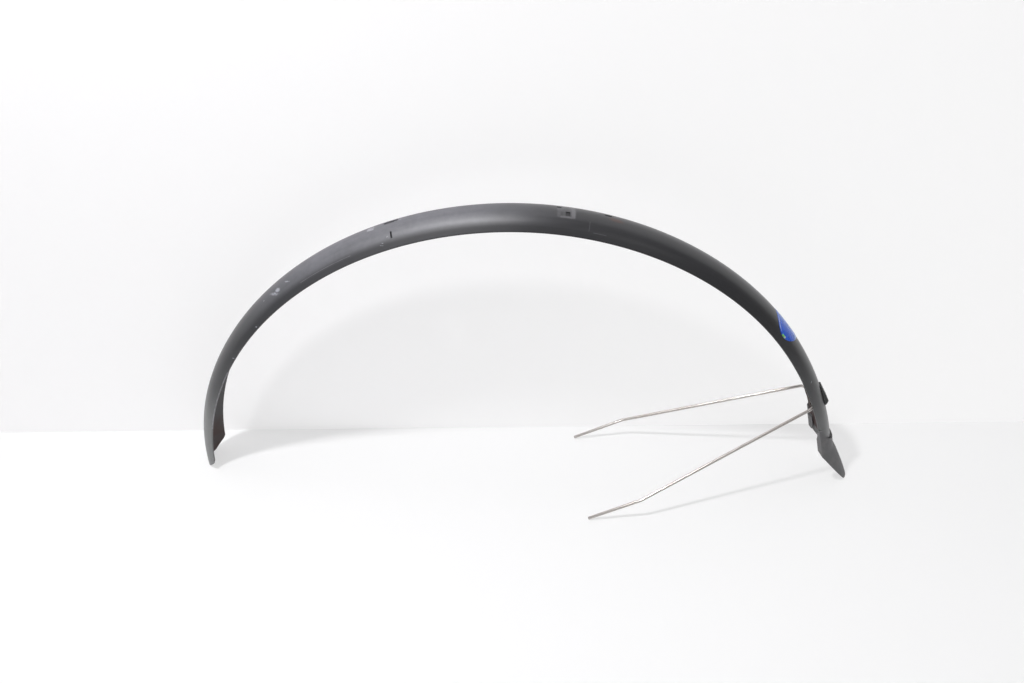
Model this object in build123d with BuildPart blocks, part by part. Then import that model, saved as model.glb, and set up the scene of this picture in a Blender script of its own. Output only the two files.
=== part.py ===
from build123d import *
import os
from math import acos, asin, atan, cos, degrees, pi, radians, sin, sqrt, tan

# Rear mudguard for a 28 inch wheel, standing on its front end, its flap and the two ends of its stay.
# The origin is the wheel's axle in the blade's middle plane, +X to the rear, +Z up, in millimetres.
# An angle is the direction the crown faces, in degrees from straight up, positive to the rear.
# A height is measured outwards from the crown of the blade.

# Blade: a C-section of plastic bent round the wheel, tighter at its front end and wider at its rear
crown_radius = 370.0
front_radius = 322.0
front_bend_angle = -68.0
rear_radius = 436.0
rear_bend_angle = 54.5
tail_angle = 78.2
blade_width = 46.6
blade_wall = 1.8
shoulder_angle = 55.0
skirt_length = 5.35
edge_round = 0.6
front_flat = 5.0
front_bevel = 51.0
tail_flat = 1.0
tail_bevel = 66.0
corner_trim = 1.0
corner_slope = 20.0
corner_round = 3.0

# Level above the axle at which the front end, the flap and the ends of the stay all stand
stand_level = 19.4

# Slots through the blade's crown, and a pocket and a slit that do not go through its wall
clip_slot_width = 3.2
clip_slot_offset = 4.2
clip_slot_places = ((-19.8, 15.0), (6.1, 5.0), (13.7, 8.0))
pocket_angle = 7.4
pocket_turn = -14.0
pocket_length = 4.6
pocket_width = 5.4
pocket_depth = 1.1
slit_angle = -19.7
slit_turn = -35.0
slit_length = 7.0
slit_width = 1.5
slit_depth = 1.2

# Stay: one U of wire, swung a little to one side in its bracket
wire_diameter = 3.5
stay_angle = 65.7
stay_rise = 2.6
stay_reach = 277.0
stay_spread = 130.6
stay_cross = 37.2
stay_tail = 63.5
stay_swing = 4.8
stay_corner_radius = 8.0
stay_bend_radius = 30.0

# Bracket inside the blade, with a groove that the stay snaps into
fit_gap = 0.2
bracket_base = 3.0
bracket_width = 28.0
bracket_ahead = 22.0
bracket_behind = 32.0
bracket_web = 5.5
bracket_lip = 1.6
groove_gap = 0.2
groove_snap = 0.35

# Hood on the outside of the crown, over the bracket
hood_ahead = 13.0
hood_behind = 14.5
hood_front_width = 10.0
hood_rear_width = 16.0
hood_front_height = 1.5
hood_height = 4.0
hood_peak = 9.0
hood_tail_slope = 42.0
hood_root = 6.0
hood_corner = 2.5
hood_round = 0.8
hood_peak_round = 3.5

# Self-tapping screws: one holds bracket and hood, one holds the flap
screw_place = 9.5
screw_diameter = 3.0
screw_grip = 1.5
screw_head_diameter = 6.0
screw_head_height = 2.2
screw_boss_diameter = 8.5
screw_boss_height = 2.5
screw_hole_gap = 0.3
thread_gap = 0.05
recess_width = 0.8
recess_length = 3.6
recess_depth = 1.1

# Flap pushed over the blade's tail, hooked round the skirt edges and turned outwards below
flap_wall = 2.2
flap_gap = 0.15
flap_ear_angle = 70.4
flare_angle = 75.4
flare_turn = 17.0
flare_radius = 20.0
tongue_radius = 400.0
hook_wall = 1.8
hook_height = 3.0
notch_depth = 30.0
flap_knee_angle = 74.3
flap_knee_drop = 20.3
flap_knee_round = 14.0
flap_tip_depth = 4.6
flap_tip_round = 7.0
flap_boss_diameter = 8.5
flap_boss_place = 6.5
flap_recess_length = 12.0
flap_recess_width = 5.0
flap_recess_depth = 1.2

# Round film sticker on the crown
sticker_angle = 50.3
sticker_length = 42.0
sticker_width = 36.6
sticker_film = 0.2
sticker_glue = 0.05

# Sizes of the section that follow from those above
shoulder = radians(shoulder_angle)
crown_curve = (blade_width / 2 - skirt_length * cos(shoulder)) / sin(shoulder)
skirt_drop = crown_curve * (1 - cos(shoulder)) + skirt_length * sin(shoulder)
edge_drop = skirt_drop + blade_wall * cos(shoulder)
wire_radius = wire_diameter / 2


def facing(angle):
    """Direction in which the crown faces at an angle."""
    return Vector(sin(radians(angle)), 0, cos(radians(angle)))


def along(angle):
    """Direction along the blade towards the rear at an angle."""
    return Vector(cos(radians(angle)), 0, -sin(radians(angle)))


front_centre = facing(front_bend_angle) * (crown_radius - front_radius)
rear_centre = facing(rear_bend_angle) * (crown_radius - rear_radius)


def crown_point(angle, height):
    """Point of the middle plane at an angle and a height, on the blade's main or rear stretch."""
    if angle > rear_bend_angle:
        return rear_centre + facing(angle) * (rear_radius + height)
    return facing(angle) * (crown_radius + height)


def rear_arc(length):
    """Angle that a length along the rear stretch covers."""
    return degrees(length / rear_radius)


def across_plane(angle):
    """Plane across the blade: x along Y, y outwards from the crown."""
    return Plane(origin=crown_point(angle, 0), x_dir=(0, 1, 0), z_dir=along(angle))


def crown_plane(angle, height):
    """Plane facing outwards at a height: x to the rear, y along Y."""
    return Plane(origin=crown_point(angle, height), x_dir=along(angle), z_dir=facing(angle))


def wall_plane(angle, turn):
    """Plane on the crown at an angle, turned about the section's centre towards one skirt."""
    outward = facing(angle) * cos(radians(turn)) + Vector(0, sin(radians(turn)), 0)
    centre = crown_point(angle, -crown_curve)
    return Plane(origin=centre + outward * crown_curve, x_dir=along(angle), z_dir=outward)


def side(point):
    """A point of the middle plane as a pair, for a sketch seen from the side."""
    return (point.X, point.Z)


def section_point(offset, length, hand):
    """Point of the section outside the blade by an offset, a length below one shoulder."""
    y = (crown_curve + offset) * sin(shoulder) + length * cos(shoulder)
    height = (crown_curve + offset) * cos(shoulder) - crown_curve - length * sin(shoulder)
    return (hand * y, height)


def crown_line(offset):
    """Line over the crown at an offset, from one shoulder to the other."""
    return Spline(
        section_point(offset, 0, -1),
        (0, offset),
        section_point(offset, 0, 1),
        tangents=((cos(shoulder), sin(shoulder)), (cos(shoulder), -sin(shoulder))),
    )


def channel(inner, outer, skirt):
    """C-section between two offsets from the blade's outer line, with straight skirts."""
    with BuildLine() as outline:
        crown_line(outer)
        crown_line(inner)
        for hand in (1, -1):
            Polyline(
                section_point(outer, 0, hand),
                section_point(outer, skirt, hand),
                section_point(inner, skirt, hand),
                section_point(inner, 0, hand),
            )
    return make_face(outline.edges())


def filled(offset):
    """All that lies inside the blade's outer line at an offset, down to the skirt edges."""
    with BuildLine() as outline:
        crown_line(offset)
        Polyline(
            section_point(offset, 0, 1),
            section_point(offset, skirt_length, 1),
            section_point(offset, skirt_length, -1),
            section_point(offset, 0, -1),
        )
    return make_face(outline.edges())


def blade_section():
    """The blade's section, with its skirt edges rounded."""
    face = channel(-blade_wall, 0, skirt_length)
    corners = face.vertices().group_by(Axis.Y)
    fillet(corners[0] + corners[1], edge_round)


def end_bevel(tip, inward, back, flat, angle):
    """Side view of what is cut off an end: a slope that leaves the crown flat, eased at the skirt edge."""
    slope = inward * cos(radians(angle)) + back * sin(radians(angle))
    ease = inward * sin(radians(corner_slope)) + back * cos(radians(corner_slope))
    start = tip + inward * flat - slope * blade_wall
    knee = tip + inward * flat + slope * ((skirt_drop - flat - corner_trim) / cos(radians(angle)))
    leave = knee + ease * blade_width
    with BuildLine() as outline:
        FilletPolyline(side(start), side(knee), side(leave), radius=corner_round)
        Polyline(
            side(leave),
            side(leave + inward * blade_width),
            side(tip - back * blade_width),
            side(start),
        )
    return make_face(outline.edges())


# The front stretch bends about a centre of its own, down to the standing level.
front_angle = -degrees(acos((stand_level - front_centre.Z) / front_radius))
front_tip = front_centre + facing(front_angle) * front_radius
tail_tip = crown_point(tail_angle, 0)

# The screw of the bracket stands behind the stay, its seat on a boss of the bracket's base.
screw_angle = stay_angle + rear_arc(screw_place)
screw_radius = screw_diameter / 2
bracket_face = -blade_wall - fit_gap
screw_seat = bracket_face - bracket_base - screw_boss_height
screw_length = fit_gap + screw_grip - screw_seat

# The flap turns outwards about a centre outside the crown, then curves down to its tip.
# Its tongue is turned on past the tip and cut level there. The curve of its notch, drawn with two
# handles, reaches three quarters of their length.
flap_face = flap_gap + flap_wall
flap_skirt = skirt_length + flap_gap + hook_wall
notch_handle = notch_depth / 0.75
flare_centre = crown_point(flare_angle, flap_face + flare_radius)
tongue_angle = flare_angle - flare_turn
tongue_start = flare_centre - facing(tongue_angle) * flare_radius
tongue_centre = tongue_start - facing(tongue_angle) * tongue_radius
tip_angle = degrees(acos((stand_level - tongue_centre.Z) / tongue_radius))
flap_tip = tongue_centre + facing(tip_angle) * tongue_radius
tongue_turn = 2 * (tip_angle - tongue_angle)
tongue_plane = Plane(
    origin=tongue_start - facing(tongue_angle) * flap_face,
    x_dir=(0, 1, 0),
    z_dir=along(tongue_angle),
)

# The flap's screw goes through the blade's tail into a boss behind the flap's crown.
boss_facing = tongue_angle + degrees(flap_boss_place / tongue_radius)
boss_point = tongue_centre + facing(boss_facing) * tongue_radius
boss_ray = boss_point - rear_centre
boss_angle = degrees(acos(boss_ray.Z / boss_ray.length))
boss_height = boss_ray.length - rear_radius
inner_curve = crown_curve - blade_wall
seat_drop = inner_curve - sqrt(inner_curve**2 - (screw_head_diameter / 2) ** 2)
flap_screw_seat = -blade_wall - seat_drop
flap_screw_tip = boss_height - flap_wall - flap_recess_depth

# The stay lies in one sloping plane, from its crossing inside the skirts down to the standing level.
cross_point = crown_point(stay_angle, stay_rise - edge_drop)
stay_slope = asin((cross_point.Z - stand_level - wire_radius) / stay_reach)
swing = radians(stay_swing)
stay_across = Vector(-sin(swing), cos(swing), 0)
stay_down = Vector(
    -cos(stay_slope) * cos(swing), -cos(stay_slope) * sin(swing), -sin(stay_slope)
)
half_cross = stay_cross / 2
half_spread = stay_spread / 2
stay_leg = stay_reach - stay_tail
leg_lean = atan((half_spread - half_cross) / stay_leg)
corner_start = half_cross - stay_corner_radius * tan((pi / 2 - leg_lean) / 2)

with BuildPart() as blade:
    with BuildSketch(across_plane(front_bend_angle)):
        blade_section()
    revolve(axis=Axis.Y, revolution_arc=rear_bend_angle - front_bend_angle)
    for slot_angle, slot_length in clip_slot_places:
        with BuildSketch(crown_plane(slot_angle, 0)):
            with Locations((0, clip_slot_offset)):
                SlotOverall(slot_length, clip_slot_width)
        extrude(amount=-skirt_drop, mode=Mode.SUBTRACT)
    with BuildSketch(wall_plane(pocket_angle, pocket_turn)):
        Rectangle(pocket_length, pocket_width)
    extrude(amount=-pocket_depth, mode=Mode.SUBTRACT)
    with BuildSketch(wall_plane(slit_angle, slit_turn)):
        Rectangle(slit_width, slit_length)
    extrude(amount=-slit_depth, mode=Mode.SUBTRACT)
    with BuildSketch(across_plane(front_bend_angle)):
        blade_section()
    revolve(axis=Axis(front_centre, (0, -1, 0)), revolution_arc=front_bend_angle - front_angle)
    with BuildSketch(across_plane(rear_bend_angle)):
        blade_section()
    revolve(axis=Axis(rear_centre, (0, 1, 0)), revolution_arc=tail_angle - rear_bend_angle)
    with Locations(crown_plane(screw_angle, 0), crown_plane(boss_angle, 0)):
        Hole(screw_radius + screw_hole_gap, depth=skirt_drop)
    with BuildSketch(Plane.XZ):
        end_bevel(front_tip, -facing(front_angle), along(front_angle), front_flat, front_bevel)
        end_bevel(tail_tip, -facing(tail_angle), -along(tail_angle), tail_flat, tail_bevel)
    extrude(amount=blade_width, both=True, mode=Mode.SUBTRACT)
blade.part.label = "mudguard_blade"

# Boss behind the flap's crown, which meets the blade's tail and takes the flap's screw
with BuildPart() as flap_boss:
    with Locations(crown_plane(boss_angle, 0)):
        Cylinder(flap_boss_diameter / 2, blade_width)
    with BuildSketch(tongue_plane):
        filled(flap_face - flap_wall / 2)
    revolve(
        axis=Axis(tongue_centre, (0, 1, 0)), revolution_arc=tongue_turn, mode=Mode.INTERSECT
    )
    with BuildSketch(across_plane(flare_angle)):
        filled(flap_gap)
    revolve(
        axis=Axis(rear_centre, (0, 1, 0)),
        revolution_arc=tail_angle - flare_angle,
        mode=Mode.SUBTRACT,
    )

with BuildPart() as flap:
    with BuildSketch(across_plane(flap_ear_angle)):
        channel(flap_gap, flap_face, flap_skirt)
        for hand in (1, -1):
            inside = -blade_wall - flap_gap
            lip = flap_skirt - hook_wall - hook_height
            with BuildLine() as hook:
                Polyline(
                    section_point(flap_face, flap_skirt, hand),
                    section_point(inside - hook_wall, flap_skirt, hand),
                    section_point(inside - hook_wall, lip, hand),
                    section_point(inside, lip, hand),
                    section_point(inside, flap_skirt - hook_wall, hand),
                    section_point(flap_face, flap_skirt - hook_wall, hand),
                    close=True,
                )
            make_face(hook.edges())
    revolve(axis=Axis(rear_centre, (0, 1, 0)), revolution_arc=flare_angle - flap_ear_angle)
    with BuildSketch(across_plane(flare_angle)):
        channel(flap_gap, flap_face, flap_skirt)
    revolve(axis=Axis(flare_centre, (0, -1, 0)), revolution_arc=flare_turn)
    with BuildSketch(tongue_plane):
        channel(flap_gap, flap_face, flap_skirt)
    revolve(axis=Axis(tongue_centre, (0, 1, 0)), revolution_arc=tongue_turn)
    with BuildSketch(crown_plane(flap_ear_angle, flap_face)):
        with BuildLine():
            Bezier(
                (0, -blade_width / 2),
                (notch_handle, -blade_width / 2),
                (notch_handle, blade_width / 2),
                (0, blade_width / 2),
            )
            Polyline(
                (0, blade_width / 2),
                (-notch_depth, blade_width / 2),
                (-notch_depth, -blade_width / 2),
                (0, -blade_width / 2),
            )
        make_face()
    extrude(amount=-blade_width, mode=Mode.SUBTRACT)
    ear = crown_point(flap_ear_angle, -flap_knee_drop - hook_wall)
    knee = crown_point(flap_knee_angle, -flap_knee_drop)
    tip = flap_tip - Vector(flap_tip_depth, 0, 0)
    beyond = flap_tip + Vector(2 * blade_width, 0, 0)
    below = beyond - Vector(0, 0, 3 * blade_width)
    with BuildSketch(Plane.XZ):
        with BuildLine():
            FilletPolyline(
                side(ear),
                side(knee),
                side(tip),
                side(beyond),
                radius=(flap_knee_round, flap_tip_round),
            )
            Polyline(side(beyond), side(below), (ear.X, below.Z), side(ear))
        make_face()
    extrude(amount=blade_width, both=True, mode=Mode.SUBTRACT)
    add(flap_boss.part)
    with Locations(crown_plane(boss_angle, 0)):
        Cylinder(
            screw_radius + thread_gap,
            flap_screw_tip + thread_gap,
            align=(Align.CENTER, Align.CENTER, Align.MIN),
            mode=Mode.SUBTRACT,
        )
    with BuildSketch(Plane(origin=boss_point, x_dir=along(boss_facing), z_dir=facing(boss_facing))):
        SlotOverall(flap_recess_length, flap_recess_width)
    extrude(amount=-flap_recess_depth, mode=Mode.SUBTRACT)
flap.part.label = "mudflap"

with BuildPart() as stay:
    stay_plane = Plane(origin=cross_point, x_dir=stay_across, z_dir=stay_across.cross(stay_down))
    with BuildLine(stay_plane) as wire:
        FilletPolyline(
            (-half_spread, stay_reach),
            (-half_spread, stay_leg),
            (-half_cross, 0),
            (half_cross, 0),
            (half_spread, stay_leg),
            (half_spread, stay_reach),
            radius=(stay_bend_radius, stay_corner_radius, stay_corner_radius, stay_bend_radius),
        )
    with BuildSketch(Plane(origin=wire.line @ 0, z_dir=wire.line % 0)):
        Circle(wire_radius)
    sweep(path=wire.line)
stay.part.label = "stay"

bracket_front = stay_angle - rear_arc(bracket_ahead)
bracket_rear = stay_angle + rear_arc(bracket_behind)
block_bottom = stay_rise - edge_drop - wire_radius - bracket_lip
block_top = bracket_face - bracket_base / 2
bracket_curve = crown_curve + bracket_face
block_fall = bracket_curve - sqrt(bracket_curve**2 - corner_start**2)
with BuildPart() as bracket:
    with BuildSketch(across_plane(bracket_front)):
        channel(bracket_face - bracket_base, bracket_face, skirt_length)
        Rectangle(bracket_width, blade_width, mode=Mode.INTERSECT)
    revolve(axis=Axis(rear_centre, (0, 1, 0)), revolution_arc=bracket_rear - bracket_front)
    with BuildSketch(across_plane(stay_angle - rear_arc(bracket_web))):
        with BuildLine():
            Polyline(
                (-corner_start, block_top - block_fall),
                (0, block_top),
                (corner_start, block_top - block_fall),
                (corner_start, block_bottom),
                (-corner_start, block_bottom),
                close=True,
            )
        make_face()
    revolve(axis=Axis(rear_centre, (0, 1, 0)), revolution_arc=2 * rear_arc(bracket_web))
    with Locations(crown_plane(screw_angle, screw_seat)):
        Cylinder(
            screw_boss_diameter / 2,
            screw_boss_height + bracket_base / 2,
            align=(Align.CENTER, Align.CENTER, Align.MIN),
        )
    with BuildSketch(Plane(origin=cross_point, x_dir=stay_down, z_dir=stay_across)):
        Circle(wire_radius + groove_gap)
        Rectangle(
            blade_width, wire_diameter - 2 * groove_snap, align=(Align.MIN, Align.CENTER)
        )
    extrude(amount=blade_width, both=True, mode=Mode.SUBTRACT)
    with Locations(crown_plane(screw_angle, 0)):
        Hole(screw_radius + screw_hole_gap, depth=blade_width)
bracket.part.label = "stay_bracket"

with BuildPart() as hood:
    with BuildSketch(crown_plane(stay_angle, -hood_root)):
        with BuildLine():
            Polyline(
                (-hood_ahead, -hood_front_width / 2),
                (hood_behind, -hood_rear_width / 2),
                (hood_behind, hood_rear_width / 2),
                (-hood_ahead, hood_front_width / 2),
                close=True,
            )
        plan = make_face()
        fillet(plan.vertices(), hood_corner)
    extrude(amount=hood_root + hood_height)
    hood_side = Plane(
        origin=crown_point(stay_angle, 0), x_dir=along(stay_angle), z_dir=(0, -1, 0)
    )
    hood_tail = hood_height - (2 * hood_behind - hood_peak) * tan(radians(hood_tail_slope))
    with BuildSketch(hood_side):
        with BuildLine():
            FilletPolyline(
                (-2 * hood_ahead, hood_front_height),
                (-hood_ahead, hood_front_height),
                (hood_peak, hood_height),
                (2 * hood_behind, hood_tail),
                radius=hood_peak_round,
            )
            Polyline(
                (2 * hood_behind, hood_tail),
                (-2 * hood_ahead, hood_tail),
                (-2 * hood_ahead, hood_front_height),
            )
        make_face()
    extrude(amount=blade_width, both=True, mode=Mode.INTERSECT)
    top_share = cos(radians((hood_tail_slope + 90) / 2))
    rim = hood.faces().filter_by(lambda face: face.normal_at().dot(facing(stay_angle)) > top_share)
    fillet(rim.edges().filter_by(lambda edge: not edge.is_interior), hood_round)
    with BuildSketch(across_plane(stay_angle - 2 * rear_arc(hood_ahead))):
        filled(fit_gap)
    revolve(
        axis=Axis(rear_centre, (0, 1, 0)),
        revolution_arc=2 * rear_arc(hood_ahead + hood_behind),
        mode=Mode.SUBTRACT,
    )
    with Locations(crown_plane(screw_angle, 0)):
        Cylinder(
            screw_radius + thread_gap,
            fit_gap + screw_grip + thread_gap,
            align=(Align.CENTER, Align.CENTER, Align.MIN),
            mode=Mode.SUBTRACT,
        )
hood.part.label = "bracket_hood"


def screw(length):
    """Pan head screw on the current plane: head below it, shank of a length above it."""
    Cylinder(screw_radius, length, align=(Align.CENTER, Align.CENTER, Align.MIN))
    Cylinder(
        screw_head_diameter / 2,
        screw_head_height,
        align=(Align.CENTER, Align.CENTER, Align.MAX),
    )
    with Locations((0, 0, -screw_head_height)):
        Box(recess_length, recess_width, 2 * recess_depth, mode=Mode.SUBTRACT)
        Box(recess_width, recess_length, 2 * recess_depth, mode=Mode.SUBTRACT)


with BuildPart(crown_plane(screw_angle, screw_seat)) as bracket_screw:
    screw(screw_length)
bracket_screw.part.label = "bracket_screw"

with BuildPart(crown_plane(boss_angle, flap_screw_seat)) as flap_screw:
    screw(flap_screw_tip - flap_screw_seat)
flap_screw.part.label = "flap_screw"

with BuildPart() as sticker:
    sticker_turn = degrees(sticker_length / crown_radius)
    with BuildSketch(across_plane(sticker_angle - sticker_turn)):
        channel(sticker_glue, sticker_glue + sticker_film, skirt_length)
    revolve(axis=Axis.Y, revolution_arc=2 * sticker_turn)
    with BuildSketch(crown_plane(sticker_angle, blade_wall)):
        Ellipse(sticker_length / 2, sticker_width / 2)
    extrude(amount=-skirt_drop, mode=Mode.INTERSECT)
sticker.part.label = "sticker"

os.makedirs("parts", exist_ok=True)
for piece in (blade, flap, flap_screw, stay, bracket, hood, bracket_screw, sticker):
    export_step(piece.part, f"parts/{piece.part.label}.step")
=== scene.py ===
import bmesh
import bpy
import numpy as np
from mathutils import Matrix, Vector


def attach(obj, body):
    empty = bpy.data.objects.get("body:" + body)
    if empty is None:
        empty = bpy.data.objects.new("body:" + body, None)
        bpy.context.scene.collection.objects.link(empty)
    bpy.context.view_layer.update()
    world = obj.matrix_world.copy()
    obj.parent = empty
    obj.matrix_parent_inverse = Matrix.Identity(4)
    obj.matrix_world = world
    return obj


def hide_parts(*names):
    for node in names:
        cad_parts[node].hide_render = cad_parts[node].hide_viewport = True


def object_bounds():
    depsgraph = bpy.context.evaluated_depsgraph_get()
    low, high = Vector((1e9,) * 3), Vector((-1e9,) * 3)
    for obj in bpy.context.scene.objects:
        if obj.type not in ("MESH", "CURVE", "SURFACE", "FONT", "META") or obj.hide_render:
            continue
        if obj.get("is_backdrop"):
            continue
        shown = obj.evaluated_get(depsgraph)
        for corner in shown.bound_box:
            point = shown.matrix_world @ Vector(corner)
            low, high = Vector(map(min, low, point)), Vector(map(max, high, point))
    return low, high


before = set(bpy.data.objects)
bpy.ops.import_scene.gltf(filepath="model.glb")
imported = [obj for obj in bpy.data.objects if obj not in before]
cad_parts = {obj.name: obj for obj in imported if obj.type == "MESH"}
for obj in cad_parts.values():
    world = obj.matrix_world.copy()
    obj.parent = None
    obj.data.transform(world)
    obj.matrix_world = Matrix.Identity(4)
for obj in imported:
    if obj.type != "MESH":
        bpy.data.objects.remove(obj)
cad_low, cad_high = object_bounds()

# Blade: a long C-section of charcoal plastic, drawn through a die and bent round the wheel, tighter
# at its front end and wider at its tail. Both ends are cut to a bevel, slots for clips are punched
# through it, and a pocket and a slit are pressed into it.
mm = 0.001
stand_level = 19.4 * mm
crown_radius = 370 * mm
front_radius = 322 * mm
rear_radius = 436 * mm
front_bend = np.radians(-68)
rear_bend = np.radians(54.5)
blade_tail = np.radians(78.2)
blade_wall = 1.8 * mm
half_width = 23.3 * mm
shoulder = np.radians(55)
skirt_length = 5.35 * mm
edge_round = 0.6 * mm
crown_curve = (half_width - skirt_length * np.cos(shoulder)) / np.sin(shoulder)


def facing(angle):
    """Direction the crown faces at an angle from straight up, positive to the rear."""
    return np.stack([np.sin(angle), np.zeros_like(angle), np.cos(angle)], -1)


def tangent(angle):
    """Direction along the blade to the rear: the facing turned a quarter turn."""
    return np.stack([np.cos(angle), np.zeros_like(angle), -np.sin(angle)], -1)


def sideways(across):
    """A way across the blade, along Y."""
    return np.stack([np.zeros_like(across), across, np.zeros_like(across)], -1)


front_centre = facing(front_bend) * (crown_radius - front_radius)
rear_centre = facing(rear_bend) * (crown_radius - rear_radius)
blade_front = -np.arccos((stand_level - front_centre[2]) / front_radius)


def crown_line(angle):
    """Crown points: three arcs that share their tangents, each a centre plus a radius along the
    facing."""
    angle = np.asarray(angle, float)
    ahead = (angle < front_bend)[..., None]
    behind = (angle > rear_bend)[..., None]
    centre = np.where(ahead, front_centre, np.where(behind, rear_centre, 0.0))
    radius = np.where(ahead, front_radius, np.where(behind, rear_radius, crown_radius))
    return centre + radius * facing(angle)


def blade_point(angle, across, height):
    """Points of the blade: the crown point, plus a height along its facing and a way along Y."""
    angle, across, height = np.broadcast_arrays(angle, across, height)
    return crown_line(angle) + facing(angle) * height[..., None] + sideways(across)


def section(turn, run, offset):
    """Across and height in the C-section: an arc of the crown's curve up to a turn, then a straight
    run along its tangent, both moved outwards by an offset."""
    reach = crown_curve + offset
    across = reach * np.sin(turn) + run * np.cos(turn)
    height = reach * np.cos(turn) - crown_curve - run * np.sin(turn)
    return across, height


def both_hands(half):
    """A half line from the crown to an edge, made whole from one edge to the other."""
    return np.concatenate([half[::-1], half[1:]])


def wall_loop(outer, inner):
    """A closed line round a wall: its outer side, then its inner side back again."""
    return np.concatenate([outer, inner[::-1]])


def loop_faces(rows, columns):
    """Quads of a grid whose columns close on themselves: each point joined to the next one round
    and the next one along."""
    here = np.arange(rows * columns).reshape(rows, columns)
    after = np.roll(here, -1, 1)
    return np.stack([here[:-1], here[1:], after[1:], after[:-1]], -1).reshape(-1, 4)


def cap_faces(first, columns):
    """Quads across the wall at one end: each point of the outer side joined to its twin on the
    inner side."""
    outer = np.arange(columns // 2)
    inner = columns - 1 - outer
    return first + np.stack([outer[:-1], outer[1:], inner[1:], inner[:-1]], -1)


def new_piece(name, points, faces):
    """A mesh object at the origin that rides on the one body and takes its finish from a slot."""
    mesh = bpy.data.meshes.new(name)
    mesh.from_pydata(np.reshape(points, (-1, 3)).tolist(), [], [list(face) for face in faces])
    piece = bpy.data.objects.new(name, mesh)
    bpy.context.scene.collection.objects.link(piece)
    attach(piece, "root")
    return piece


def lay_out(piece, along, across):
    """UV map of a grid piece: each corner takes its point's way along and across, in metres."""
    corners = np.zeros(len(piece.data.loops), int)
    piece.data.loops.foreach_get("vertex_index", corners)
    layer = piece.data.uv_layers.new(name="layout")
    layer.data.foreach_set("uv", np.stack([along, across], -1).reshape(-1, 2)[corners].ravel())


def closed_and_smooth(piece, sharp):
    """Merges points that meet, turns all faces outwards and shades them smooth up to a sharp angle."""
    shape = bmesh.new()
    shape.from_mesh(piece.data)
    bmesh.ops.remove_doubles(shape, verts=shape.verts, dist=0.001 * mm)
    bmesh.ops.recalc_face_normals(shape, faces=shape.faces)
    shape.to_mesh(piece.data)
    shape.free()
    piece.data.shade_smooth()
    piece.data.set_sharp_from_angle(angle=np.radians(sharp))


def prism(centre, outward, ahead, outline, low, high):
    """Points and faces of a prism: an outline on a plane, carried from a low to a high level along
    its normal."""
    ring = centre + outline[:, :1] * ahead + outline[:, 1:] * np.cross(outward, ahead)
    count = len(outline)
    here = np.arange(count)
    after = np.roll(here, -1)
    sides = np.stack([here, after, after + count, here + count], -1).tolist()
    caps = [here[::-1].tolist(), (here + count).tolist()]
    return np.concatenate([ring + low * outward, ring + high * outward]), sides + caps


def punch_through(piece, prisms):
    """Cuts prisms out of a piece."""
    starts = np.cumsum([0] + [len(points) for points, faces in prisms])
    faces = [
        [corner + start for corner in face]
        for start, (points, sides) in zip(starts, prisms)
        for face in sides
    ]
    mesh = bpy.data.meshes.new("punch")
    mesh.from_pydata(np.concatenate([points for points, sides in prisms]).tolist(), [], faces)
    tool = bpy.data.objects.new("punch", mesh)
    bpy.context.scene.collection.objects.link(tool)
    cut = piece.modifiers.new("punch", "BOOLEAN")
    cut.operation = "DIFFERENCE"
    cut.solver = "EXACT"
    cut.object = tool
    bpy.context.view_layer.update()
    whole = piece.evaluated_get(bpy.context.evaluated_depsgraph_get())
    punched = bpy.data.meshes.new_from_object(whole)
    piece.modifiers.clear()
    piece.data = punched
    bpy.data.objects.remove(tool)


def oblong(length, width, corners=48):
    """A slot's outline: two half circles, moved apart until the slot has its length."""
    turn = np.arange(corners) * 2 * np.pi / corners + np.pi / corners
    ends = (length - width) / 2 * np.sign(np.cos(turn))
    return np.stack([ends + width / 2 * np.cos(turn), width / 2 * np.sin(turn)], -1)


def set_back(depth, flat, bevel):
    """How far an end is cut back at a depth below the crown: nothing down to a flat, then a bevel,
    then an easing at the skirt edge, averaged over a short run of depths so that its corners are
    rounded."""
    corner_depth = 13.9 * mm
    corner_slope = np.radians(20)
    half_blur = 0.8 * mm
    near = depth[..., None] + half_blur * np.linspace(-1, 1, 9)
    slope = np.maximum(near - flat, 0) * np.tan(bevel)
    ease = np.maximum(near - corner_depth, 0) * (1 / np.tan(corner_slope) - np.tan(bevel))
    return (slope + ease).mean(-1)


# The half section: the crown's arc, the skirt, and the rounding of its edge.
edge_turn = np.radians([25, 50, 75, 90])
crown_turn = np.linspace(0, shoulder, 23)
skirt_run = np.linspace(0, skirt_length - edge_round, 4)[1:]
edge_run = skirt_length - edge_round * (1 - np.sin(edge_turn))
half_run = np.concatenate([np.zeros(len(crown_turn)), skirt_run, edge_run])
half_count = len(half_run)
half_turn = np.concatenate([crown_turn, np.full(half_count - len(crown_turn), shoulder)])
half_inset = np.zeros(half_count)
half_inset[-len(edge_turn):] = edge_round * (1 - np.cos(edge_turn))
hand = np.concatenate([-np.ones(half_count), np.ones(half_count - 1)])
blade_across, blade_height = [], []
for offset in (-half_inset, half_inset - blade_wall):
    half_across, half_height = section(half_turn, half_run, offset)
    blade_across.append(hand * both_hands(half_across))
    blade_height.append(both_hands(half_height))
middle_across = np.tile(np.mean(blade_across, 0), 2).reshape(2, -1)
middle_height = np.tile(np.mean(blade_height, 0), 2).reshape(2, -1)
blade_across = wall_loop(*blade_across)
blade_height = wall_loop(*blade_height)
middle_across = wall_loop(*middle_across)
middle_height = wall_loop(*middle_height)

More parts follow.
